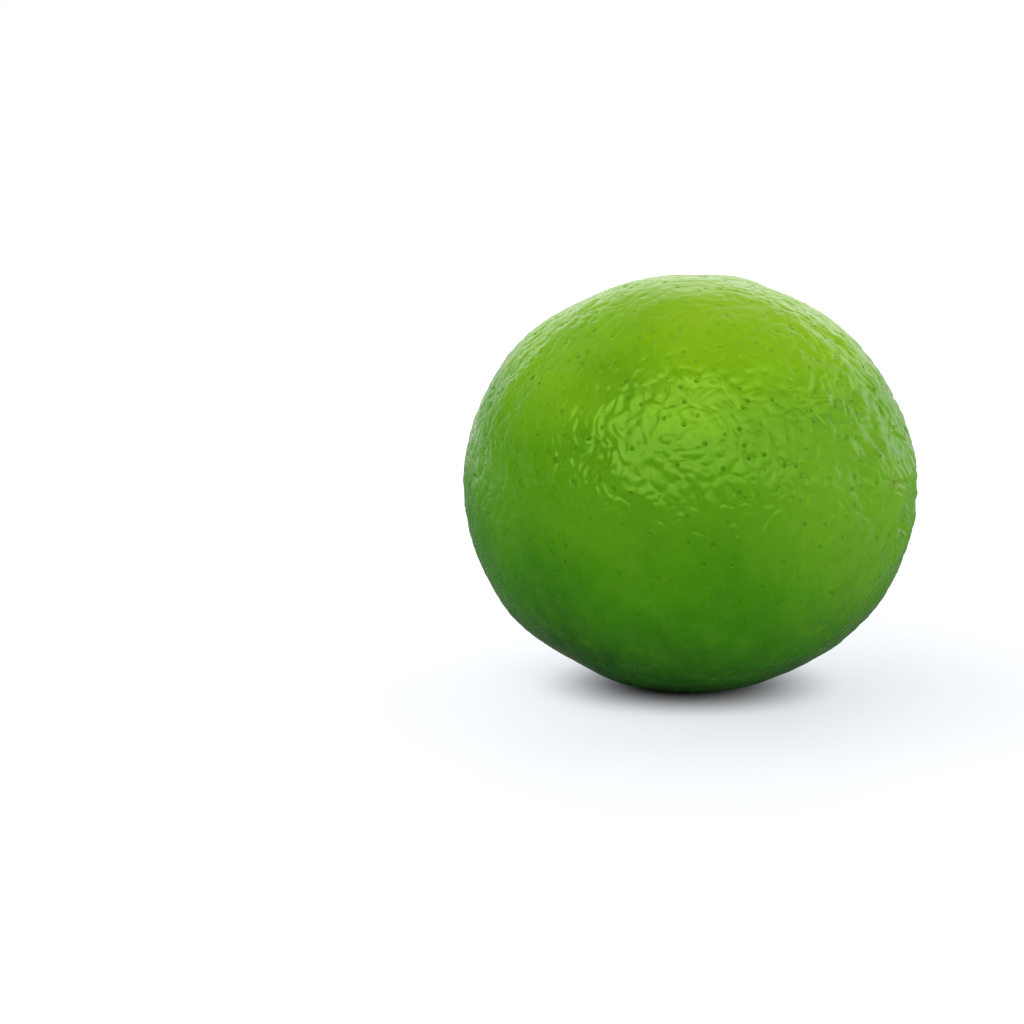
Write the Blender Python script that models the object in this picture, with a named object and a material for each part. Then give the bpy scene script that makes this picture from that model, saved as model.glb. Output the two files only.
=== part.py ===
"""A whole lime lying on its side, with the woody button where its stalk was cut.

The long axis runs close to X. The blossom end is at +X and the stem end at -X. Z points up,
and the small flat spot that the fruit rests on is at Z = 0. All lengths are in metres.
"""

import math

import bmesh
import bpy
import numpy as np

# The fruit as a plain long body
HALF_LENGTH = 0.0302
HALF_WIDTH = 0.0270
STEM_FULLNESS = 0.012
CENTRE_HEIGHT = 0.02625
AXIS_RISE = math.radians(3.5)

# The flat spot: skin below this plane is pressed up to it, with a soft edge
PRESS_SOFTNESS = 0.00015

# Broad swells and flats of the rind: bearing from +X towards +Y, height above the level,
# reach, all in degrees, and rise in metres
SWELLS = (
    (38.0, 17.0, 13.0, -0.00050),
    (43.0, 45.0, 11.0, 0.00025),
    (60.0, 71.0, 8.0, 0.00045),
    (-161.0, 64.0, 9.0, -0.00030),
    (-152.0, 44.0, 11.0, 0.00025),
    (-139.0, -33.0, 12.0, 0.00030),
    (-134.0, -53.0, 11.0, -0.00035),
    (29.0, -36.0, 12.0, 0.00030),
    (17.0, -66.0, 8.0, -0.00030),
    (-60.0, 25.0, 22.0, 0.00012),
    (105.0, 10.0, 20.0, 0.00022),
    (150.0, -20.0, 24.0, -0.00020),
)

# Blossom end: a low nipple in a ring furrow, with wrinkles running to it
BLOSSOM_BEARING = math.radians(1.7)
BLOSSOM_RISE = math.radians(2.3)
NIPPLE_HEIGHT = 0.00115
NIPPLE_REACH = 0.0036
RING_RADIUS = 0.0054
RING_WIDTH = 0.0013
RING_DEPTH = 0.00022
SCAR_RADIUS = 0.0011
SCAR_DEPTH = 0.00035
WRINKLE_DEPTH = 0.00017
WRINKLE_COUNTS = (5, 8, 13)
WRINKLE_MIDDLE = 0.0062
WRINKLE_REACH = 0.0036

# Stem end: a shallow hollow for the button, with short furrows running out of it
HOLLOW_DEPTH = 0.0012
HOLLOW_REACH = 0.0052
FURROW_COUNT = 9
FURROW_DEPTH = 0.00026
FURROW_MIDDLE = 0.0058
FURROW_REACH = 0.0024

# Soft unevenness of the whole skin, as a sum of plain waves in seeded directions
RIPPLE_SEED = 11
RIPPLE_WAVES = 70
RIPPLE_SHORTEST = 0.0038
RIPPLE_LONGEST = 0.0080
RIPPLE_HEIGHT = 0.000085
SMOOTH_SEAT = 0.0030
ROUGH_SKIN = 0.0060

# The skin mesh: squares along each edge of a cube that is blown up to the fruit
SQUARES_ALONG_EDGE = 30
POLE_PULL = 0.10

# The button: the five-lobed remnant of the flower cup with the cut stub of the stalk on it
GAP = 0.0003
BUTTON_RADIUS = 0.0026
LOBE_COUNT = 5
LOBE_DEPTH = 0.11
BUTTON_SIDES = 40
SEAT_RINGS = (0.25, 0.5, 0.75, 0.93)
# Share of the button's radius and height above its seat, from the rim up to the middle of the cut
BUTTON_PROFILE = (
    (1.00, 0.00010),
    (1.00, 0.00034),
    (0.93, 0.00056),
    (0.76, 0.00072),
    (0.58, 0.00080),
    (0.47, 0.00096),
    (0.42, 0.00125),
    (0.40, 0.00168),
    (0.35, 0.00182),
    (0.20, 0.00172),
)
CUT_FACE_HEIGHT = 0.00166

RIND_COLOUR = (0.104, 0.318, 0.010, 1.0)
BUTTON_COLOUR = (0.230, 0.150, 0.060, 1.0)


def clear_scene():
    """Removes every object that the scene starts with."""
    for existing in list(bpy.data.objects):
        bpy.data.objects.remove(existing, do_unlink=True)


def make_material(name, colour, roughness):
    """A plain non-metal finish."""
    material = bpy.data.materials.new(name)
    material.use_nodes = True
    shader = material.node_tree.nodes["Principled BSDF"]
    shader.inputs["Base Color"].default_value = colour
    shader.inputs["Roughness"].default_value = roughness
    shader.inputs["Metallic"].default_value = 0.0
    material.diffuse_color = colour
    return material


def direction(bearing, rise):
    """Unit vector at a bearing from +X towards +Y and a rise above the level, in radians."""
    level = math.cos(rise)
    return np.array([level * math.cos(bearing), level * math.sin(bearing), math.sin(rise)])


def away_and_turn(directions, axis):
    """Distance along the skin from the end that axis points at, and the angle around it."""
    side = np.cross(axis, [0.0, 0.0, 1.0])
    side /= np.linalg.norm(side)
    above = np.cross(side, axis)
    away = HALF_WIDTH * np.arccos(np.clip(directions @ axis, -1.0, 1.0))
    turn = np.arctan2(directions @ above, directions @ side)
    return away, turn


def bell(distance, reach):
    """One at distance zero, falling smoothly to nothing a little past the reach."""
    return np.exp(-((distance / reach) ** 2))


def plain_body(directions):
    """Distance from the centre to the plain long body, a little fuller in its stem half."""
    along = directions[:, 0]
    across_squared = 1.0 - along**2
    plain = 1.0 / np.sqrt((along / HALF_LENGTH) ** 2 + across_squared / HALF_WIDTH**2)
    return plain * (1.0 - STEM_FULLNESS * along * across_squared)


def swell_relief(directions):
    """The broad swells and flats that keep the outline from being a plain oval."""
    relief = np.zeros(len(directions))
    for bearing, height, reach, rise in SWELLS:
        middle = direction(math.radians(bearing), math.radians(height))
        apart = np.degrees(np.arccos(np.clip(directions @ middle, -1.0, 1.0)))
        relief += rise * bell(apart, reach)
    return relief


def blossom_relief(directions):
    """The nipple with its style scar, the ring furrow and the wrinkles that run to it."""
    away, turn = away_and_turn(directions, direction(BLOSSOM_BEARING, BLOSSOM_RISE))
    nipple = NIPPLE_HEIGHT * bell(away, NIPPLE_REACH)
    scar = SCAR_DEPTH * bell(away, SCAR_RADIUS)
    ring = RING_DEPTH * bell(away - RING_RADIUS, RING_WIDTH) * (1.0 + 0.5 * np.sin(turn + 0.7))
    waves = sum(np.sin(count * turn + count) for count in WRINKLE_COUNTS)
    wrinkles = WRINKLE_DEPTH * waves / 2.0 * bell(away - WRINKLE_MIDDLE, WRINKLE_REACH)
    return nipple - scar - ring + wrinkles


def stem_relief(directions):
    """The hollow that the button sits in and the furrows around it."""
    away, turn = away_and_turn(directions, direction(math.pi, 0.0))
    hollow = HOLLOW_DEPTH * bell(away, HOLLOW_REACH)
    crease = (0.5 + 0.5 * np.sin(FURROW_COUNT * turn + 0.8 * np.sin(2.0 * turn))) ** 2
    furrows = FURROW_DEPTH * crease * bell(away - FURROW_MIDDLE, FURROW_REACH)
    return -hollow - furrows


def ripple_relief(directions):
    """Soft unevenness of the skin, fading out under the button so that its seat is smooth."""
    random = np.random.default_rng(RIPPLE_SEED)
    headings = random.normal(size=(RIPPLE_WAVES, 3))
    headings /= np.linalg.norm(headings, axis=1)[:, None]
    lengths = random.uniform(RIPPLE_SHORTEST, RIPPLE_LONGEST, RIPPLE_WAVES)
    starts = random.uniform(0.0, 2.0 * math.pi, RIPPLE_WAVES)
    points = directions * plain_body(directions)[:, None]
    phases = points @ (headings * (2.0 * math.pi / lengths)[:, None]).T + starts
    relief = np.sin(phases).sum(axis=1) * math.sqrt(2.0 / RIPPLE_WAVES)
    away, _ = away_and_turn(directions, direction(math.pi, 0.0))
    fade = np.clip((away - SMOOTH_SEAT) / (ROUGH_SKIN - SMOOTH_SEAT), 0.0, 1.0)
    return RIPPLE_HEIGHT * relief * fade * fade * (3.0 - 2.0 * fade)


def skin_radius(directions):
    """Distance from the fruit's centre to its skin along each direction."""
    relief = swell_relief(directions) + blossom_relief(directions)
    relief += stem_relief(directions) + ripple_relief(directions)
    return plain_body(directions) + relief


def laid_down(points):
    """Points of the upright fruit turned to its resting tilt and lifted to its resting height."""
    level, lift = math.cos(AXIS_RISE), math.sin(AXIS_RISE)
    x = points[:, 0] * level - points[:, 2] * lift
    z = points[:, 0] * lift + points[:, 2] * level + CENTRE_HEIGHT
    return np.column_stack([x, points[:, 1], z])


def pressed_flat(points):
    """The same points with those below the resting plane pressed up to it."""
    height = points[:, 2]
    soft = (height + PRESS_SOFTNESS) ** 2 / (4.0 * PRESS_SOFTNESS)
    soft = np.where(height < -PRESS_SOFTNESS, 0.0, soft)
    rested = np.where(height > PRESS_SOFTNESS, height, soft)
    return np.column_stack([points[:, :2], rested])


def cube_directions(squares):
    """A cube's faces cut into squares, as a bmesh and the unit directions of its vertices."""
    mesh = bmesh.new()
    bmesh.ops.create_cube(mesh, size=2.0)
    bmesh.ops.subdivide_edges(mesh, edges=mesh.edges[:], cuts=squares - 1, use_grid_fill=True)
    corners = np.array([vertex.co for vertex in mesh.verts])
    # Equal angles instead of equal lengths keep the squares alike once they lie on the fruit
    spread = np.tan(corners * (math.pi / 4.0))
    directions = spread / np.linalg.norm(spread, axis=1)[:, None]
    polar = np.arccos(np.clip(directions[:, 0], -1.0, 1.0))
    pulled = polar - POLE_PULL * np.sin(2.0 * polar)
    across = np.hypot(directions[:, 1], directions[:, 2])
    scale = np.sin(pulled) / np.maximum(across, 1e-12)
    directions = np.column_stack([np.cos(pulled), directions[:, 1] * scale, directions[:, 2] * scale])
    return mesh, directions


def finish_object(name, mesh, material):
    """Turns a bmesh into a smooth-shaded object of the scene."""
    bmesh.ops.recalc_face_normals(mesh, faces=mesh.faces[:])
    data = bpy.data.meshes.new(name)
    mesh.to_mesh(data)
    mesh.free()
    data.materials.append(material)
    data.shade_smooth()
    data.set_sharp_from_angle(angle=math.radians(50.0))
    obj = bpy.data.objects.new(name, data)
    bpy.context.scene.collection.objects.link(obj)
    return obj


def build_fruit():
    """The fruit, grown in one piece: rind, pith and flesh are one solid."""
    mesh, directions = cube_directions(SQUARES_ALONG_EDGE)
    skin = pressed_flat(laid_down(directions * skin_radius(directions)[:, None]))
    for vertex, place in zip(mesh.verts, skin):
        vertex.co = place
    material = make_material("rind", RIND_COLOUR, 0.38)
    return finish_object("lime_fruit", mesh, material)


def button_ring(share, height):
    """Places around the button at a share of its lobed radius and a height above its seat."""
    turn = np.arange(BUTTON_SIDES) * (2.0 * math.pi / BUTTON_SIDES)
    lobed = 1.0 + LOBE_DEPTH * share**2 * np.cos(LOBE_COUNT * turn)
    away = share * BUTTON_RADIUS * lobed / HALF_WIDTH
    directions = np.column_stack(
        [-np.cos(away), np.sin(away) * np.cos(turn), np.sin(away) * np.sin(turn)]
    )
    distance = plain_body(directions) + stem_relief(directions) + GAP + height
    return laid_down(directions * distance[:, None])


def build_button():
    """The woody button on the stem end, clear of the skin all round by the gap."""
    rings = [button_ring(share, 0.0) for share in SEAT_RINGS]
    rings += [button_ring(share, height) for share, height in BUTTON_PROFILE]
    mesh = bmesh.new()
    under = mesh.verts.new(button_ring(0.0, 0.0)[0])
    loops = [[mesh.verts.new(place) for place in ring] for ring in rings]
    top = mesh.verts.new(button_ring(0.0, CUT_FACE_HEIGHT)[0])
    for side in range(BUTTON_SIDES):
        after = (side + 1) % BUTTON_SIDES
        mesh.faces.new((under, loops[0][side], loops[0][after]))
        mesh.faces.new((top, loops[-1][side], loops[-1][after]))
        for inner, outer in zip(loops, loops[1:]):
            mesh.faces.new((inner[side], outer[side], outer[after], inner[after]))
    material = make_material("stem_button", BUTTON_COLOUR, 0.75)
    return finish_object("stem_button", mesh, material)


clear_scene()
build_fruit()
build_button()
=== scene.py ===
"""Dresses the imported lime: a fine skin with its glands and wrinkles, the stalk button, and a pale studio."""

import math

import bmesh
import bpy
import numpy as np
from mathutils import Matrix, Vector
from mathutils.kdtree import KDTree


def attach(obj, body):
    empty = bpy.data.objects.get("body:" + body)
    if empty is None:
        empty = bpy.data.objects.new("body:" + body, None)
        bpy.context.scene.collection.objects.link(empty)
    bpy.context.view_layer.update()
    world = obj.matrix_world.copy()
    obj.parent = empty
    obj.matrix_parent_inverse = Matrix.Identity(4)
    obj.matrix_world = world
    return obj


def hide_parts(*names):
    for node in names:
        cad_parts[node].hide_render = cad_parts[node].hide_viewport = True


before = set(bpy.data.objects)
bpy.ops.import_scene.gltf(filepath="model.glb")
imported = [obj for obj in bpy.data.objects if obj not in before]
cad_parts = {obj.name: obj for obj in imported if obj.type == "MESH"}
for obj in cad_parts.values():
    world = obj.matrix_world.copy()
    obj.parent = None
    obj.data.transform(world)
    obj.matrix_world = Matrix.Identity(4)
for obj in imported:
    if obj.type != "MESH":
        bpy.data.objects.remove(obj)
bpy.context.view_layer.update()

MM = 0.001

# Lengths are in metres where no other unit is named

# The fruit as a plain long body, as the solid has it
HALF_LENGTH = 0.0302
HALF_WIDTH = 0.0270
STEM_FULLNESS = 0.012
CENTRE_HEIGHT = 0.02625
AXIS_RISE = math.radians(3.5)
PRESS_SOFTNESS = 0.00015

# Broad swells and flats: bearing from +X towards +Y, height and reach in degrees, and rise
SWELLS = (
    (38.0, 17.0, 13.0, -0.00050),
    (43.0, 45.0, 11.0, 0.00025),
    (60.0, 71.0, 8.0, 0.00045),
    (-161.0, 64.0, 9.0, -0.00030),
    (-152.0, 44.0, 11.0, 0.00025),
    (-139.0, -33.0, 12.0, 0.00030),
    (-134.0, -53.0, 11.0, -0.00035),
    (29.0, -36.0, 12.0, 0.00030),
    (17.0, -66.0, 8.0, -0.00030),
    (-60.0, 25.0, 22.0, 0.00012),
    (105.0, 10.0, 20.0, 0.00022),
    (150.0, -20.0, 24.0, -0.00020),
)

# Blossom end
BLOSSOM_BEARING = math.radians(1.7)
BLOSSOM_RISE = math.radians(2.3)
NIPPLE_HEIGHT = 0.00115
NIPPLE_REACH = 0.0036
RING_RADIUS = 0.0054
RING_WIDTH = 0.0013
RING_DEPTH = 0.00022
RING_UNEVENNESS = 0.5
RING_START = 0.7
SCAR_RADIUS = 0.0011
SCAR_DEPTH = 0.00035
WRINKLE_DEPTH = 0.00017
WRINKLE_COUNTS = (5, 8, 13)
WRINKLE_MIDDLE = 0.0062
WRINKLE_REACH = 0.0036

# Stem end
HOLLOW_DEPTH = 0.0012
HOLLOW_REACH = 0.0052
FURROW_COUNT = 9
FURROW_DEPTH = 0.00026
FURROW_MIDDLE = 0.0058
FURROW_REACH = 0.0024
FURROW_UNEVENNESS = 0.8

# How far from the stem end the skin stays smooth under the button, and where it is fully rough
SMOOTH_SEAT = 0.0030
ROUGH_SKIN = 0.0060

# Random unevenness is given as seed, number of waves, shortest and longest wave, and height.
# The first is like the solid's own but lower, and the second is finer. Both are stronger at the
# blossom end.
SKIN_RIPPLES = (11, 70, 0.0040, 0.0080, 0.000038)
FINE_RIPPLES = (23, 110, 0.0014, 0.0036, 0.000020)
BLOSSOM_ROUGHNESS = 1.6
BLOSSOM_REACH = 0.0165

# Oil glands: pinholes of uneven size and depth, each in the middle of a shallow dimple
GLAND_SEED = 5
GLAND_SPACING = 0.0022
GLAND_JITTER = 0.42
GLAND_SIZES = (0.75, 1.25)
GLAND_DEPTHS = (0.30, 1.30)
GLAND_RADIUS = 0.00030
GLAND_DEPTH = 0.000095
DIMPLE_RADIUS = 0.00070
DIMPLE_DEPTH = 0.000022

# How the glands are spread: the long body's area as a share of a ball's, the area that each
# one takes up as a share of the spacing squared, and the spread of a nudge over three axes
BODY_AREA = 1.08
GLAND_AREA = 0.87
NUDGE_SPREAD = 1.7

# Small plump cells of the skin, those drawn out around the front, and longer furrows between
# groups of them. Cells are given as seed, spacing and how much shorter they are along the fruit.
PEBBLES = (31, 0.0021, 1.2)
PEBBLE_HEIGHT = 0.000066
STREAKS = (57, 0.0036, 2.8)
STREAK_HEIGHT = 0.000064
STREAK_PLACE = ((-86.0, 18.0, 22.0, 1.0),)
LONG_FURROWS = (12, 0.0046, 1.5)
LONG_FURROW_WIDTH = 0.00040
LONG_FURROW_DEPTH = 0.000060

# How far the slope beside a crease reaches, as a share of the spacing, and how strong the long
# furrows are on average and at most
CREASE_SHARE = 0.36
LONG_FURROW_STRENGTH = 0.55
LONG_FURROW_STRONGEST = 1.5

# Cells are laid out on a grid, in its steps: its margin and the band of it that the skin needs
GRID_MARGIN = 2.0
SKIN_BAND = 1.5

# How the edges of cells wander, and how furrows come and go, in the terms of the ripples
WANDER = (17, 30, 0.0030, 0.0090, 0.00050)
PATCHINESS = (41, 24, 0.0060, 0.0160, 1.0)

# Where the skin is rougher or smoother: bearing, height, reach in degrees, and change
ROUGHNESS_PLACES = (
    (-76.0, 20.0, 22.0, 1.40),
    (-58.0, 60.0, 21.0, -0.60),
    (-55.0, 86.0, 16.0, -0.25),
    (-50.0, -72.0, 38.0, -0.75),
    (-125.0, -45.0, 28.0, -0.50),
    (20.0, -45.0, 26.0, -0.45),
    (25.0, 5.0, 22.0, 0.60),
    (60.0, 10.0, 30.0, 0.40),
    (150.0, 35.0, 28.0, 0.45),
    (100.0, 65.0, 24.0, -0.25),
)

# The skin's mesh: how far under the solid's surface it lies, the squares along an edge of the
# cube that it starts from, how much they are drawn towards both ends, and the least distance
# from the long axis that anything is divided by
SKIN_INSET = 0.00009
SQUARES_ALONG_EDGE = 220
POLE_PULL = 0.04
TINY = 1e-12

# The stalk button: its outline from the seat to the cut, as share of the radius and height
BUTTON_RADIUS = 0.0026
BUTTON_SIDES = 160
BUTTON_RINGS = 64
GAP = 0.0003
BUTTON_PROFILE = (
    (1.00, -0.00015),
    (1.02, 0.00010),
    (1.00, 0.00034),
    (0.93, 0.00056),
    (0.76, 0.00072),
    (0.58, 0.00080),
    (0.47, 0.00096),
    (0.42, 0.00122),
    (0.40, 0.00160),
    (0.35, 0.00174),
    (0.20, 0.00166),
    (0.00, 0.00160),
)

# The button's lobes, the uneven waves of its rim as count, start and size, and its ribs
LOBE_COUNT = 5
LOBE_DEPTH = 0.11
RIM_WAVES = (
    (3.0, 1.0, 0.25),
    (11.0, 0.0, 0.12),
)
RIB_COUNT = 23.0
RIB_HEIGHT = 0.00004
RIB_TWIST = 4.0

# The photograph's view: where the camera stands round the fruit and where its frame holds the fruit
VIEW_AZIMUTH = math.radians(35.0)
VIEW_ELEVATION = math.radians(10.0)
VIEW_DISTANCE = 0.440
LENS = 120.0
SENSOR = 36.0
NEAREST_SEEN = 0.01
FARTHEST_SEEN = 20.0
FRAME_PIXELS = 1024.0
FRUIT_PIXEL = (688.7, 484.0)


def direction(bearing, rise):
    """Unit vector at a bearing from +X towards +Y and a rise above the level, in radians."""
    level = math.cos(rise)
    return np.array([level * math.cos(bearing), level * math.sin(bearing), math.sin(rise)])


BLOSSOM_AXIS = direction(BLOSSOM_BEARING, BLOSSOM_RISE)
STEM_AXIS = direction(math.pi, 0.0)


def away_and_turn(directions, axis):
    """Distance along the skin from the end that axis points at, and the angle around it."""
    side = np.cross(axis, [0.0, 0.0, 1.0])
    side /= np.linalg.norm(side)
    above = np.cross(side, axis)
    away = HALF_WIDTH * np.arccos(np.clip(directions @ axis, -1.0, 1.0))
    turn = np.arctan2(directions @ above, directions @ side)
    return away, turn


def bell(distance, reach):
    """One at distance zero, falling smoothly to nothing a little past the reach."""
    return np.exp(-((distance / reach) ** 2))


def eased(value, start, end):
    """Zero up to start, one from end on, and a smooth step between them."""
    share = np.clip((value - start) / (end - start), 0.0, 1.0)
    return share * share * (3.0 - 2.0 * share)


def plain_body(directions):
    """Distance from the centre to the plain long body, a little fuller in its stem half."""
    along = directions[:, 0]
    across_squared = 1.0 - along**2
    plain = 1.0 / np.sqrt((along / HALF_LENGTH) ** 2 + across_squared / HALF_WIDTH**2)
    return plain * (1.0 - STEM_FULLNESS * along * across_squared)


def sum_of_bells(directions, places):
    """Soft rises around places that are given as bearing, height and reach in degrees, and size."""
    total = np.zeros(len(directions))
    for bearing, height, reach, size in places:
        middle = direction(math.radians(bearing), math.radians(height))
        apart = np.degrees(np.arccos(np.clip(directions @ middle, -1.0, 1.0)))
        total += size * bell(apart, reach)
    return total


def blossom_relief(directions):
    """The nipple with its style scar, the ring furrow and the wrinkles that run to it."""
    away, turn = away_and_turn(directions, BLOSSOM_AXIS)
    nipple = NIPPLE_HEIGHT * bell(away, NIPPLE_REACH)
    scar = SCAR_DEPTH * bell(away, SCAR_RADIUS)
    uneven = 1.0 + RING_UNEVENNESS * np.sin(turn + RING_START)
    ring = RING_DEPTH * bell(away - RING_RADIUS, RING_WIDTH) * uneven
    folds = sum(np.sin(count * turn + count) for count in WRINKLE_COUNTS)
    wrinkles = WRINKLE_DEPTH * folds / 2.0 * bell(away - WRINKLE_MIDDLE, WRINKLE_REACH)
    return nipple - scar - ring + wrinkles


def stem_relief(directions):
    """The hollow that the button sits in and the furrows around it."""
    away, turn = away_and_turn(directions, STEM_AXIS)
    hollow = HOLLOW_DEPTH * bell(away, HOLLOW_REACH)
    uneven = FURROW_COUNT * turn + FURROW_UNEVENNESS * np.sin(2.0 * turn)
    crease = (0.5 + 0.5 * np.sin(uneven)) ** 2
    furrows = FURROW_DEPTH * crease * bell(away - FURROW_MIDDLE, FURROW_REACH)
    return -hollow - furrows


def waves(directions, ripples):
    """Smooth random unevenness over the fruit: many waves of the given lengths, and their height."""
    seed, count, shortest, longest, height = ripples
    random = np.random.default_rng(seed)
    headings = random.normal(size=(count, 3))
    headings /= np.linalg.norm(headings, axis=1)[:, None]
    lengths = random.uniform(shortest, longest, count)
    starts = random.uniform(0.0, 2.0 * math.pi, count)
    points = directions * plain_body(directions)[:, None]
    turns = headings * (2.0 * math.pi / lengths)[:, None]
    relief = np.zeros(len(points))
    for turn, start in zip(turns, starts):
        relief += np.sin(points @ turn + start)
    return height * math.sqrt(2.0 / count) * relief


def wandered(directions):
    """The directions moved about a little, so that what is laid out on them has curved edges."""
    seed, count, shortest, longest, height = WANDER
    moved = directions.copy()
    for axis in range(3):
        moved[:, axis] += waves(directions, (seed + axis, count, shortest, longest, height)) / HALF_WIDTH
    return moved / np.linalg.norm(moved, axis=1)[:, None]


def scattered_directions(seed, spacing, jitter):
    """Unit directions spread evenly over the fruit at about this spacing, each nudged at random."""
    area = 4.0 * math.pi * HALF_WIDTH * HALF_WIDTH * BODY_AREA
    count = int(area / (GLAND_AREA * spacing * spacing))
    random = np.random.default_rng(seed)
    step = np.arange(count) + 0.5
    height = 1.0 - 2.0 * step / count
    turn = step * math.pi * (3.0 - math.sqrt(5.0))
    across = np.sqrt(1.0 - height**2)
    spread = np.column_stack([height, across * np.cos(turn), across * np.sin(turn)])
    spread += random.normal(size=spread.shape) * (jitter * spacing / HALF_WIDTH / NUDGE_SPREAD)
    return spread / np.linalg.norm(spread, axis=1)[:, None], random


def nearest_two(directions, middles):
    """Index of the nearest middle for each direction, and the distances to the nearest two."""
    tree = KDTree(len(middles))
    for index, middle in enumerate(middles):
        tree.insert(middle, index)
    tree.balance()
    found = [tree.find_n(place, 2) for place in directions.tolist()]
    nearest = np.array([pair[0][1] for pair in found])
    first = np.array([pair[0][2] for pair in found]) * HALF_WIDTH
    second = np.array([pair[1][2] for pair in found]) * HALF_WIDTH
    return nearest, first, second


def gland_relief(directions):
    """Pinholes of the oil glands in their dimples, and how deep in a gland each point lies."""
    middles, random = scattered_directions(GLAND_SEED, GLAND_SPACING, GLAND_JITTER)
    size = random.uniform(*GLAND_SIZES, len(middles))
    depth = random.uniform(*GLAND_DEPTHS, len(middles))
    nearest, first, _ = nearest_two(directions, middles)
    hole = bell(first, GLAND_RADIUS * size[nearest]) * depth[nearest]
    dimple = bell(first, DIMPLE_RADIUS * size[nearest])
    return -GLAND_DEPTH * hole - DIMPLE_DEPTH * dimple, np.clip(hole, 0.0, 1.0)


def cell_edges(directions, cells):
    """How far each direction lies from its cell's edge, for cells that run around the long axis."""
    seed, spacing, stretch = cells
    drawn_out = np.array([stretch, 1.0, 1.0])
    step = spacing / HALF_WIDTH
    margin = GRID_MARGIN * step
    along = np.arange(-stretch - margin, stretch + margin, step)
    across = np.arange(-1.0 - margin, 1.0 + margin, step)
    middles = np.stack(np.meshgrid(along, across, across, indexing="ij"), -1).reshape(-1, 3)
    middles += np.random.default_rng(seed).uniform(-0.5, 0.5, middles.shape) * step
    away = np.linalg.norm(middles / drawn_out, axis=1) - 1.0
    _, first, second = nearest_two(directions * drawn_out, middles[np.abs(away) < SKIN_BAND * step])
    return second - first


def plump_cells(directions, cells, height):
    """Cells that swell from the creases between them to a flat top of this height."""
    _, spacing, _ = cells
    return height * (eased(cell_edges(directions, cells), 0.0, CREASE_SHARE * spacing) - 0.5)


def cell_relief(directions):
    """Plump cells with creases between them, and furrows that come and go over the skin."""
    moved = wandered(directions)
    pebbles = plump_cells(moved, PEBBLES, PEBBLE_HEIGHT)
    streaks = plump_cells(moved, STREAKS, STREAK_HEIGHT)
    drawn = sum_of_bells(directions, STREAK_PLACE)
    groove = LONG_FURROW_DEPTH * bell(cell_edges(moved, LONG_FURROWS), LONG_FURROW_WIDTH)
    patches = LONG_FURROW_STRENGTH + LONG_FURROW_STRENGTH * waves(directions, PATCHINESS)
    strength = np.clip(patches, 0.0, LONG_FURROW_STRONGEST)
    return pebbles * (1.0 - drawn) + streaks * drawn - groove * strength


def skin_relief(directions, blossom_away, stem_away):
    """All the relief on the plain body, and how deep in a gland each point lies."""
    blossom = 1.0 + BLOSSOM_ROUGHNESS * bell(blossom_away, BLOSSOM_REACH)
    rougher = blossom + sum_of_bells(directions, ROUGHNESS_PLACES)
    glands, gland_share = gland_relief(directions)
    glands *= np.clip(rougher, 0.0, 1.0)
    seat = eased(stem_away, SMOOTH_SEAT, ROUGH_SKIN)
    fine = (waves(directions, FINE_RIPPLES) + cell_relief(directions)) * rougher
    relief = sum_of_bells(directions, SWELLS) + blossom_relief(directions) + stem_relief(directions)
    relief += (waves(directions, SKIN_RIPPLES) * blossom + fine + glands) * seat
    return relief, gland_share * seat


def laid_down(points):
    """Points of the upright fruit turned to its resting tilt and lifted to its resting height."""
    level = math.cos(AXIS_RISE)
    lift = math.sin(AXIS_RISE)
    x = points[:, 0] * level - points[:, 2] * lift
    z = points[:, 0] * lift + points[:, 2] * level + CENTRE_HEIGHT
    return np.column_stack([x, points[:, 1], z])


def pressed_flat(points):
    """The same points with those below the resting plane pressed up to it."""
    height = points[:, 2]
    soft = (height + PRESS_SOFTNESS) ** 2 / (4.0 * PRESS_SOFTNESS)
    soft = np.where(height < -PRESS_SOFTNESS, 0.0, soft)
    rested = np.where(height > PRESS_SOFTNESS, height, soft)
    return np.column_stack([points[:, :2], rested])


def drawn_to_ends(directions):
    """The directions drawn a little towards both ends of the long axis, where the relief is finest."""
    polar = np.arccos(np.clip(directions[:, 0], -1.0, 1.0))
    pulled = polar - POLE_PULL * np.sin(2.0 * polar)
    across = np.hypot(directions[:, 1], directions[:, 2])
    scale = np.sin(pulled) / np.maximum(across, TINY)
    return np.column_stack([np.cos(pulled), directions[:, 1] * scale, directions[:, 2] * scale])


def cube_directions(squares):
    """A cube's faces cut into squares, as a bmesh and the unit directions of its vertices."""
    mesh = bmesh.new()
    bmesh.ops.create_cube(mesh, size=2.0)
    bmesh.ops.subdivide_edges(mesh, edges=mesh.edges[:], cuts=squares - 1, use_grid_fill=True)
    bmesh.ops.recalc_face_normals(mesh, faces=mesh.faces[:])
    corners = np.array([vertex.co for vertex in mesh.verts])
    spread = np.tan(corners * (math.pi / 4.0))
    directions = spread / np.linalg.norm(spread, axis=1)[:, None]
    return mesh, drawn_to_ends(directions)


def data_from(name, mesh):
    """Turns a bmesh into mesh data and frees it."""
    data = bpy.data.meshes.new(name)
    mesh.to_mesh(data)
    mesh.free()
    return data


def store(data, name, values):
    """Keeps one number for each vertex, for the material to read."""
    attribute = data.attributes.new(name, "FLOAT", "POINT")
    attribute.data.foreach_set("value", np.asarray(values, np.float32))


def piece_from(name, data, material):
    """Puts a mesh in the scene as a smooth-shaded piece of the part."""
    data.materials.append(material)
    data.shade_smooth()
    piece = bpy.data.objects.new(name, data)
    bpy.context.scene.collection.objects.link(piece)
    return piece


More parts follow.
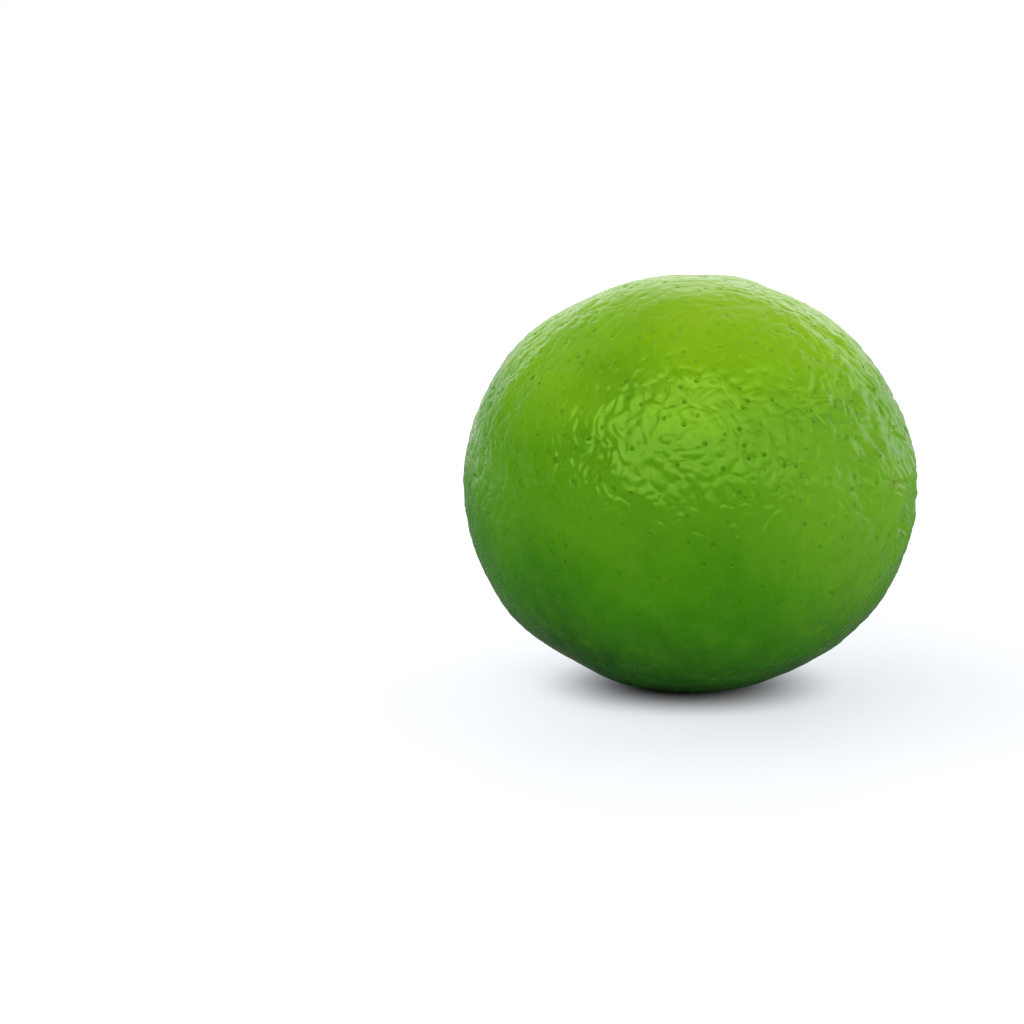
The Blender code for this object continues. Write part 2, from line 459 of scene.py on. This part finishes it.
def build_skin(material):
    """The fruit's skin at full detail."""
    mesh, directions = cube_directions(SQUARES_ALONG_EDGE)
    data = data_from("lime_skin", mesh)
    blossom_away, _ = away_and_turn(directions, BLOSSOM_AXIS)
    stem_away, _ = away_and_turn(directions, STEM_AXIS)
    relief, gland_share = skin_relief(directions, blossom_away, stem_away)
    distance = plain_body(directions) + relief - SKIN_INSET
    skin = pressed_flat(laid_down(directions * distance[:, None]))
    data.vertices.foreach_set("co", skin.astype(np.float32).ravel())
    data.update()
    store(data, "gland", gland_share)
    store(data, "blossom_mm", blossom_away / MM)
    store(data, "stem_mm", stem_away / MM)
    return piece_from("lime_skin", data, material)


def button_ring(share, height, turn, lobed):
    """Places around the button at a share of its lobed radius and a height above its seat."""
    away = share * BUTTON_RADIUS * lobed / HALF_WIDTH
    directions = np.column_stack(
        [-np.cos(away), np.sin(away) * np.cos(turn), np.sin(away) * np.sin(turn)]
    )
    distance = plain_body(directions) + stem_relief(directions) + GAP + height
    return laid_down(directions * distance[:, None])


def button_middle(height):
    """The place on the button's own axis at a height above its seat."""
    return button_ring(0.0, np.array([height]), np.zeros(1), np.ones(1))[0]


def button_outline():
    """The button's outline from the seat to the cut at even steps: shares of the radius, heights."""
    corners = np.linspace(0.0, 1.0, len(BUTTON_PROFILE))
    steps = np.linspace(0.0, 1.0, BUTTON_RINGS)
    shares = np.interp(steps, corners, [share for share, _ in BUTTON_PROFILE])
    heights = np.interp(steps, corners, [height for _, height in BUTTON_PROFILE])
    return shares, heights


def button_loops(mesh, shares, heights):
    """One loop of vertices for each step of the outline, with its lobes and ribs."""
    turn = np.arange(BUTTON_SIDES) * (2.0 * math.pi / BUTTON_SIDES)
    lobes = np.cos(LOBE_COUNT * turn)
    for count, start, size in RIM_WAVES:
        lobes += size * np.sin(count * turn + start)
    loops = []
    for share, height in zip(shares, heights):
        lobed = 1.0 + LOBE_DEPTH * share**2 * lobes
        fading = math.sin(math.pi * min(share, 1.0))
        ribs = RIB_HEIGHT * np.sin(RIB_COUNT * turn + RIB_TWIST * share) * fading
        loops.append([mesh.verts.new(place) for place in button_ring(share, height + ribs, turn, lobed)])
    return loops


def build_button(material):
    """The woody button: five blunt lobes, ribs that run to the stub, and the stub's rough cut."""
    shares, heights = button_outline()
    mesh = bmesh.new()
    loops = button_loops(mesh, shares[:-1], heights[:-1])
    top = mesh.verts.new(button_middle(heights[-1]))
    under = mesh.verts.new(button_middle(heights[0]))
    for side in range(BUTTON_SIDES):
        after = (side + 1) % BUTTON_SIDES
        mesh.faces.new((under, loops[0][side], loops[0][after]))
        mesh.faces.new((top, loops[-1][after], loops[-1][side]))
        for inner, outer in zip(loops, loops[1:]):
            mesh.faces.new((inner[side], outer[side], outer[after], inner[after]))
    bmesh.ops.recalc_face_normals(mesh, faces=mesh.faces[:])
    data = data_from("stalk_button", mesh)
    store(data, "share", np.append(np.repeat(shares[:-1], BUTTON_SIDES), [0.0, 0.0]))
    return piece_from("stalk_button", data, material)


# Where a mix of colours keeps its share, its two colours and its result among its sockets
MIX_SHARE = 0
MIX_FIRST = 6
MIX_SECOND = 7
MIX_RESULT = 2


class Nodes:
    """A short way to write a node tree."""

    def __init__(self, tree):
        self.tree = tree

    def add(self, kind, settings=None, **inputs):
        """A node with its settings, and its inputs by their names."""
        node = self.tree.nodes.new(kind)
        for key, value in (settings or {}).items():
            setattr(node, key, value)
        for key, value in inputs.items():
            self.feed(node.inputs[key.replace("_", " ")], value)
        return node

    def feed(self, socket, value):
        """Links a socket to another node's output, or sets it to a constant."""
        if isinstance(value, bpy.types.NodeSocket):
            self.tree.links.new(value, socket)
        else:
            socket.default_value = value

    def attribute(self, name):
        """A number that the mesh keeps for each vertex."""
        return self.add("ShaderNodeAttribute", {"attribute_name": name}).outputs["Fac"]

    def noise(self, place, scale, detail, roughness):
        """Soft random values from nought to one."""
        node = self.add("ShaderNodeTexNoise", Vector=place, Scale=scale, Detail=detail, Roughness=roughness)
        return node.outputs["Fac"]

    def ranged(self, value, low, high, to_low=0.0, to_high=1.0):
        """A smooth step from one number to another while the value goes from low to high."""
        node = self.add("ShaderNodeMapRange", {"interpolation_type": "SMOOTHSTEP"}, Value=value)
        for key, number in (("From Min", low), ("From Max", high), ("To Min", to_low), ("To Max", to_high)):
            self.feed(node.inputs[key], number)
        return node.outputs["Result"]

    def maths(self, operation, first, second=0.0):
        """One calculation with one or two numbers."""
        node = self.add("ShaderNodeMath", {"operation": operation})
        self.feed(node.inputs[0], first)
        self.feed(node.inputs[1], second)
        return node.outputs["Value"]

    def mix(self, share, first, second):
        """The first colour, with this share of the second."""
        node = self.add("ShaderNodeMix", {"data_type": "RGBA"})
        self.feed(node.inputs[MIX_SHARE], share)
        self.feed(node.inputs[MIX_FIRST], first)
        self.feed(node.inputs[MIX_SECOND], second)
        return node.outputs[MIX_RESULT]

    def mix_numbers(self, share, first, second):
        """The first number, with this share of the second."""
        node = self.add("ShaderNodeMix")
        self.feed(node.inputs["Factor"], share)
        self.feed(node.inputs["A"], first)
        self.feed(node.inputs["B"], second)
        return node.outputs["Result"]

    def along(self, vector, axis):
        """How far a vector reaches along an axis."""
        node = self.add("ShaderNodeVectorMath", {"operation": "DOT_PRODUCT"})
        self.feed(node.inputs[0], vector)
        self.feed(node.inputs[1], axis)
        return node.outputs["Value"]

    def length(self, vector):
        """The length of a vector."""
        node = self.add("ShaderNodeVectorMath", {"operation": "LENGTH"})
        self.feed(node.inputs[0], vector)
        return node.outputs["Value"]

    def place(self):
        """The place on the object itself."""
        return self.add("ShaderNodeTexCoord").outputs["Object"]

    def tinted(self, colour, value, tints):
        """The colour with tints given as start, end, strength at each, and colour."""
        for start, end, first, last, tint in tints:
            colour = self.mix(self.ranged(value, start, end, first, last), colour, tint)
        return colour

    def bump(self, height, strength, distance):
        """A bump node for the relief that is too fine for the mesh."""
        return self.add("ShaderNodeBump", Height=height, Strength=strength, Distance=distance)


def new_material(name):
    """A material with its node tree to write in and its shader."""
    material = bpy.data.materials.new(name)
    material.use_nodes = True
    nodes = Nodes(material.node_tree)
    return material, nodes, material.node_tree.nodes["Principled BSDF"]


# Colours of the rind by height, from the dark underside to the pale top: painted shade below and painted light
# above. Height in metres and colour
RIND_COLOURS_WITH_PAINTED_SHADE = (
    (0.004, (0.006, 0.060, 0.001, 1.0)),
    (0.016, (0.034, 0.175, 0.002, 1.0)),
    (0.024, (0.068, 0.250, 0.003, 1.0)),
    (0.036, (0.092, 0.288, 0.004, 1.0)),
    (0.045, (0.204, 0.455, 0.006, 1.0)),
    (0.053, (0.285, 0.530, 0.012, 1.0)),
)
PALE_GREEN = (0.230, 0.430, 0.035, 1.0)
# Darker green in glands and pinholes: partly their own colour, partly painted shade in the pits
GLAND_GREEN_AND_PIT_SHADE = (0.045, 0.190, 0.004, 1.0)
SCAR_BROWN = (0.180, 0.110, 0.035, 1.0)

# Noise is given as scale, detail and roughness. A span holds the values between which it counts.
DRIFT_NOISE = (55.0, 3.0, 0.5)
DRIFT_SPAN = (0.25, 0.75)
MOTTLE_NOISE = (420.0, 4.0, 0.6)
MOTTLE_SPAN = (0.40, 0.80)
GLOSS_NOISE = (260.0, 3.0, 0.5)
GLOSS_SPAN = (0.3, 0.7)
GRAIN_NOISE = (1300.0, 2.0, 0.5)

# How far the painted shade and light by height lie lower or higher: for each metre along +X, which paints
# light towards that end, and by their drift
PAINTED_LIGHT_TILT = 0.04
DRIFT_RISE = (-0.0055, 0.0025)

# Shares of paler mottling and of the darker green in glands and in the finest pinholes, a darker green that is
# partly their own and partly painted shade in the pits
MOTTLE_SHARE = 0.07
GLAND_GREEN_AND_SHADE_SHARE = 0.18
PINHOLE_GREEN_AND_SHADE_SHARES = (0.16, 0.0)
PINHOLE_SHADE_SPAN = (0.0, 0.6)

# Tints towards the ends, by the distance from them in millimetres
BLOSSOM_TINTS = (
    (1.5, 26.0, 0.31, 0.0, PALE_GREEN),
    (0.5, 1.3, 0.20, 0.0, SCAR_BROWN),
)
STEM_TINTS = ((2.5, 7.0, 0.50, 0.0, PALE_GREEN),)

# The waxy surface and the little light that goes through it
RIND_ROUGHNESS = (0.19, 0.27)
RIND_SURFACE = (
    ("IOR", 1.45),
    ("Specular IOR Level", 0.30),
    ("Specular Tint", (0.72, 1.0, 0.22, 1.0)),
    ("Subsurface Weight", 0.10),
    ("Subsurface Radius", (0.6, 1.0, 0.15)),
    ("Subsurface Scale", 0.0012),
)

# The finest pinholes and grain: scale, span and depth, and how they fade towards the underside
PINHOLE_SCALE = 600.0
PINHOLE_SPAN = (0.03, 0.21)
PINHOLE_DEPTH = 0.00024
GRAIN_DEPTH = 0.000006
CLEAR_HEIGHTS = (0.006, 0.024)
CLEAR_STRENGTHS = (0.25, 1.0)


def rind_painted_shade(nodes, place, split):
    """The rind's colour as painted shade and light by its height, paler towards +X, drifting up and down."""
    # Painted light: the height ramp is raised towards +X, so that end is paler
    tilt = nodes.maths("MULTIPLY", split.outputs["X"], PAINTED_LIGHT_TILT)
    painted_height = nodes.maths("ADD", split.outputs["Z"], tilt)
    drift = nodes.ranged(nodes.noise(place, *DRIFT_NOISE), *DRIFT_SPAN, *DRIFT_RISE)
    top, palest_painted = RIND_COLOURS_WITH_PAINTED_SHADE[-1]
    bottom, darkest_painted = RIND_COLOURS_WITH_PAINTED_SHADE[0]
    lifted = nodes.maths("ADD", painted_height, drift)
    # Painted shade and light: darker towards the bottom, paler towards the top
    ramp = nodes.add("ShaderNodeValToRGB", Fac=nodes.maths("DIVIDE", lifted, top))
    for level, shade in RIND_COLOURS_WITH_PAINTED_SHADE[1:-1]:
        ramp.color_ramp.elements.new(level / top).color = shade
    ramp.color_ramp.elements[0].position = bottom / top
    ramp.color_ramp.elements[0].color = darkest_painted
    ramp.color_ramp.elements[-1].color = palest_painted
    return ramp.outputs["Color"]


def rind_colour(nodes, place, split, pinholes):
    """The rind's colour with its painted shade and light, its mottling, its darker glands and pinholes that
    are partly painted shade in the pits, and its tinted ends.
    """
    colour = rind_painted_shade(nodes, place, split)
    mottle = nodes.ranged(nodes.noise(place, *MOTTLE_NOISE), *MOTTLE_SPAN)
    colour = nodes.mix(nodes.maths("MULTIPLY", mottle, MOTTLE_SHARE), colour, PALE_GREEN)
    # Darker glands: partly their own green, partly painted shade in the pits
    glands = nodes.maths("MULTIPLY", nodes.attribute("gland"), GLAND_GREEN_AND_SHADE_SHARE)
    colour = nodes.mix(glands, colour, GLAND_GREEN_AND_PIT_SHADE)
    colour = nodes.tinted(colour, nodes.attribute("blossom_mm"), BLOSSOM_TINTS)
    colour = nodes.tinted(colour, nodes.attribute("stem_mm"), STEM_TINTS)
    shaded = nodes.ranged(pinholes, *PINHOLE_SHADE_SPAN, *PINHOLE_GREEN_AND_SHADE_SHARES)
    return nodes.mix(shaded, colour, GLAND_GREEN_AND_PIT_SHADE)


def rind_material():
    """Waxy green skin with painted light above and painted shade below, the finest pinholes and a soft gloss.
    """
    material, nodes, shader = new_material("lime_rind")
    place = nodes.place()
    split = nodes.add("ShaderNodeSeparateXYZ", Vector=place)
    pores = nodes.add("ShaderNodeTexVoronoi", Vector=place, Scale=PINHOLE_SCALE)
    pinholes = nodes.ranged(pores.outputs["Distance"], *PINHOLE_SPAN)
    nodes.feed(shader.inputs["Base Color"], rind_colour(nodes, place, split, pinholes))
    gloss = nodes.ranged(nodes.noise(place, *GLOSS_NOISE), *GLOSS_SPAN, *RIND_ROUGHNESS)
    nodes.feed(shader.inputs["Roughness"], gloss)
    for name, value in RIND_SURFACE:
        shader.inputs[name].default_value = value
    clear = nodes.ranged(split.outputs["Z"], *CLEAR_HEIGHTS, *CLEAR_STRENGTHS)
    pitted = nodes.bump(pinholes, clear, PINHOLE_DEPTH)
    grainy = nodes.bump(nodes.noise(place, *GRAIN_NOISE), clear, GRAIN_DEPTH)
    nodes.feed(grainy.inputs["Normal"], pitted.outputs["Normal"])
    nodes.feed(shader.inputs["Normal"], grainy.outputs["Normal"])
    return material


# The button's wood: its grain, the colours and roughness that follow it, and its relief
WOOD_NOISE = (1800.0, 5.0, 0.65)
WOOD_SPAN = (0.3, 0.7)
DARK_WOOD = (0.070, 0.050, 0.022, 1.0)
LIGHT_WOOD = (0.270, 0.190, 0.085, 1.0)
WOOD_ROUGHNESS = (0.65, 0.85)
WOOD_STRENGTH = 0.6
WOOD_DEPTH = 0.00008

# Green left in the lobes, the pale cut and its dark core, by the share of the radius
WOOD_TINTS = (
    (0.55, 1.00, 0.0, 0.55, (0.130, 0.170, 0.045, 1.0)),
    (0.30, 0.38, 1.0, 0.0, (0.420, 0.350, 0.190, 1.0)),
    (0.06, 0.14, 0.8, 0.0, (0.060, 0.040, 0.020, 1.0)),
)


def button_material():
    """Dry grey-brown wood with green left in the lobes and a pale, dark-cored cut."""
    material, nodes, shader = new_material("stalk_wood")
    grain = nodes.noise(nodes.place(), *WOOD_NOISE)
    colour = nodes.mix(nodes.ranged(grain, *WOOD_SPAN), DARK_WOOD, LIGHT_WOOD)
    colour = nodes.tinted(colour, nodes.attribute("share"), WOOD_TINTS)
    nodes.feed(shader.inputs["Base Color"], colour)
    nodes.feed(shader.inputs["Roughness"], nodes.ranged(grain, *WOOD_SPAN, *WOOD_ROUGHNESS))
    relief = nodes.bump(grain, WOOD_STRENGTH, WOOD_DEPTH)
    nodes.feed(shader.inputs["Normal"], relief.outputs["Normal"])
    return material


# The floor: its size, its colour to the eye and as the skin reflects it, and its finish
FLOOR_RADIUS = 1.6
FLOOR_SIDES = 96
FLOOR_COLOUR = (0.360, 0.360, 0.380, 1.0)
FLOOR_DIM = (0.060, 0.070, 0.060, 1.0)
FLOOR_ROUGHNESS = 0.6
FLOOR_SPECULAR = 0.2

# The floor's glow: from where to where it grows, and by how much, near the fruit and farther off
FLOOR_GLOW_COLOUR = (0.920, 0.950, 1.000, 1.0)
SHADE_REACH = (0.006, 0.021)
SHADE_GLOW = (0.0, 0.68)
FADE_REACH = (0.02, 0.20)
FADE_GLOW = (0.0, 0.18)
WHITE_REACH = (0.20, 0.60)
WHITE = (1.0, 1.0, 1.0, 1.0)

# How much of the glow lights the fruit, and how much the skin reflects
FLOOR_LIGHT = 1.36
FLOOR_REFLECTED = 0.12


def floor_material():
    """Pale paper with a painted glow, none right under the fruit so that a painted shade stays there,
    brightening to the backdrop's white away from the fruit.
    """
    material, nodes, shader = new_material("floor_paper")
    reach = nodes.length(nodes.place())
    ray = nodes.add("ShaderNodeLightPath")
    reflected = ray.outputs["Is Glossy Ray"]
    # Painted glow on the floor, held back near the fruit as a painted shade
    near = nodes.ranged(reach, *SHADE_REACH, *SHADE_GLOW)
    far = nodes.ranged(reach, *FADE_REACH, *FADE_GLOW)
    thrown = nodes.mix_numbers(reflected, FLOOR_LIGHT, FLOOR_REFLECTED)
    strength = nodes.mix_numbers(ray.outputs["Is Camera Ray"], thrown, 1.0)
    glow = nodes.maths("MULTIPLY", nodes.maths("ADD", near, far), strength)
    whiter = nodes.ranged(reach, *WHITE_REACH)
    nodes.feed(shader.inputs["Base Color"], nodes.mix(reflected, FLOOR_COLOUR, FLOOR_DIM))
    nodes.feed(shader.inputs["Emission Color"], nodes.mix(whiter, FLOOR_GLOW_COLOUR, WHITE))
    nodes.feed(shader.inputs["Emission Strength"], nodes.maths("ADD", glow, whiter))
    shader.inputs["Roughness"].default_value = FLOOR_ROUGHNESS
    shader.inputs["Specular IOR Level"].default_value = FLOOR_SPECULAR
    material.cycles.emission_sampling = "NONE"
    return material


def build_floor(material):
    """A plain round floor."""
    mesh = bmesh.new()
    bmesh.ops.create_circle(mesh, cap_ends=True, radius=FLOOR_RADIUS, segments=FLOOR_SIDES)
    data = data_from("floor", mesh)
    data.materials.append(material)
    floor = bpy.data.objects.new("floor", data)
    bpy.context.scene.collection.objects.link(floor)


# The room that the skin reflects: brightness in front, at the sides, behind and overhead, and
# the depth or height of a direction at which each starts and is complete
FRONT = 0.10
SIDES = 0.36
SIDES_DEPTH = (-0.20, 0.50)
BACKDROP = 1.50
BACKDROP_DEPTH = (0.60, 0.96)
CEILING = 0.25
CEILING_HEIGHT = (0.76, 0.90)
HORIZON_HEIGHT = (-0.10, 0.25)

# Lights that only reflections show: the large one that gives the sheen and a tall one at the
# right. Brightness, then the left, right, lower and upper edge in degrees to the right of the
# camera and up, each from where the edge starts to where it is complete.
SHEEN = (7.6, (-67.0, -40.0), (110.0, -30.0), (5.0, 18.0), (84.0, 44.0))
TALL_LIGHT = (1.5, (83.0, 93.0), (150.0, 125.0), (-40.0, -10.0), (50.0, 20.0))

# The room's brightness to the eye, and as light on the pieces, which only softboxes and floor give
SEEN_ROOM = 1.0
ROOM_LIGHT = 0.0

# Softboxes: name, azimuth and elevation in degrees, width, height and brightness
SOFTBOX_DISTANCE = 0.60
SOFTBOXES = (
    ("top_box", -25.0, 55.0, 1.10, 0.45, 1.64),
    ("back_box", 215.0, 60.0, 1.10, 0.45, 1.90),
    ("left_box", -55.0, 28.0, 0.80, 0.40, 0.40),
    ("right_box", 100.0, 4.0, 0.80, 0.40, 2.95),
)


def seen_from(azimuth, elevation):
    """Unit vector from the fruit to a viewer at this azimuth, 0 being -Y and a quarter turn +X."""
    level = math.cos(elevation)
    return Vector((math.sin(azimuth) * level, -math.cos(azimuth) * level, math.sin(elevation)))


def reflected_room(nodes, height, behind):
    """The room as the skin reflects it, by the height and the depth of a direction."""
    sides = nodes.ranged(behind, *SIDES_DEPTH, FRONT, SIDES)
    backdrop = nodes.ranged(behind, *BACKDROP_DEPTH, 0.0, BACKDROP - SIDES)
    ceiling = nodes.ranged(height, *CEILING_HEIGHT, 1.0, CEILING)
    above = nodes.ranged(height, *HORIZON_HEIGHT)
    walls = nodes.maths("ADD", sides, nodes.maths("MULTIPLY", backdrop, above))
    return nodes.maths("MULTIPLY", walls, ceiling)


def reflected_light(nodes, turned, raised, light):
    """A large soft light as the skin reflects it, by the bearing and rise of a direction."""
    share, left, right, lower, upper = light
    for angle, (start, full) in ((turned, left), (turned, right), (raised, lower), (raised, upper)):
        low, high = sorted((math.radians(start), math.radians(full)))
        ends = (0.0, 1.0) if start < full else (1.0, 0.0)
        share = nodes.maths("MULTIPLY", nodes.ranged(angle, low, high, *ends), share)
    return share


def build_world():
    """A pale room: white to the eye, with a dim ceiling and large soft lights in reflections."""
    world = bpy.data.worlds.new("studio")
    world.use_nodes = True
    world.cycles.sampling_method = "NONE"
    nodes = Nodes(world.node_tree)
    place = nodes.add("ShaderNodeTexCoord").outputs["Generated"]
    height = nodes.add("ShaderNodeSeparateXYZ", Vector=place).outputs["Z"]
    behind = nodes.along(place, -seen_from(VIEW_AZIMUTH, 0.0))
    right = nodes.along(place, seen_from(VIEW_AZIMUTH + math.pi / 2.0, 0.0))
    turned = nodes.maths("ARCTAN2", right, nodes.maths("MULTIPLY", behind, -1.0))
    raised = nodes.maths("ARCSINE", height)
    reflected = reflected_room(nodes, height, behind)
    for light in (SHEEN, TALL_LIGHT):
        reflected = nodes.maths("ADD", reflected, reflected_light(nodes, turned, raised, light))
    ray = nodes.add("ShaderNodeLightPath")
    seen = nodes.mix_numbers(ray.outputs["Is Camera Ray"], reflected, SEEN_ROOM)
    strength = nodes.mix_numbers(ray.outputs["Is Diffuse Ray"], seen, ROOM_LIGHT)
    background = world.node_tree.nodes["Background"]
    background.inputs["Color"].default_value = WHITE
    nodes.feed(background.inputs["Strength"], strength)
    bpy.context.scene.world = world


def facing_fruit(back):
    """The turn of a lamp or a camera that looks at the fruit from the way back points."""
    return (-back).to_track_quat("-Z", "Y").to_matrix().to_4x4()


def build_softbox(name, azimuth, elevation, width, height, brightness):
    """A rectangular soft light that points at the fruit and that its skin doesn't reflect."""
    light = bpy.data.lights.new(name, "AREA")
    light.shape = "RECTANGLE"
    light.size = width
    light.size_y = height
    light.energy = brightness * math.pi * width * height
    holder = bpy.data.objects.new(name, light)
    back = seen_from(math.radians(azimuth), math.radians(elevation))
    stand = Vector((0, 0, CENTRE_HEIGHT)) + back * SOFTBOX_DISTANCE
    holder.matrix_world = Matrix.Translation(stand) @ facing_fruit(back)
    holder.visible_camera = False
    holder.visible_glossy = False
    bpy.context.scene.collection.objects.link(holder)


def build_camera():
    """The photograph's view, aimed so that the fruit lands where the photograph has it."""
    data = bpy.data.cameras.new("camera")
    data.lens = LENS
    data.sensor_width = SENSOR
    data.clip_start = NEAREST_SEEN
    data.clip_end = FARTHEST_SEEN
    camera = bpy.data.objects.new("camera", data)
    back = seen_from(VIEW_AZIMUTH, VIEW_ELEVATION)
    focal = LENS / SENSOR * FRAME_PIXELS
    yaw = math.atan((FRUIT_PIXEL[0] - FRAME_PIXELS / 2.0) / focal)
    pitch = math.atan((FRUIT_PIXEL[1] - FRAME_PIXELS / 2.0) / focal)
    aimed = facing_fruit(back) @ Matrix.Rotation(yaw, 4, "Y") @ Matrix.Rotation(pitch, 4, "X")
    stand = Vector((0, 0, CENTRE_HEIGHT)) + back * VIEW_DISTANCE
    camera.matrix_world = Matrix.Translation(stand) @ aimed
    bpy.context.scene.collection.objects.link(camera)
    bpy.context.scene.camera = camera


build_camera()
skin = build_skin(rind_material())
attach(skin, "root")
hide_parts("lime_fruit")
button = build_button(button_material())
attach(button, "root")
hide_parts("stem_button")

build_floor(floor_material())
build_world()
for softbox in SOFTBOXES:
    build_softbox(*softbox)
bpy.context.scene.view_settings.view_transform = "Standard"
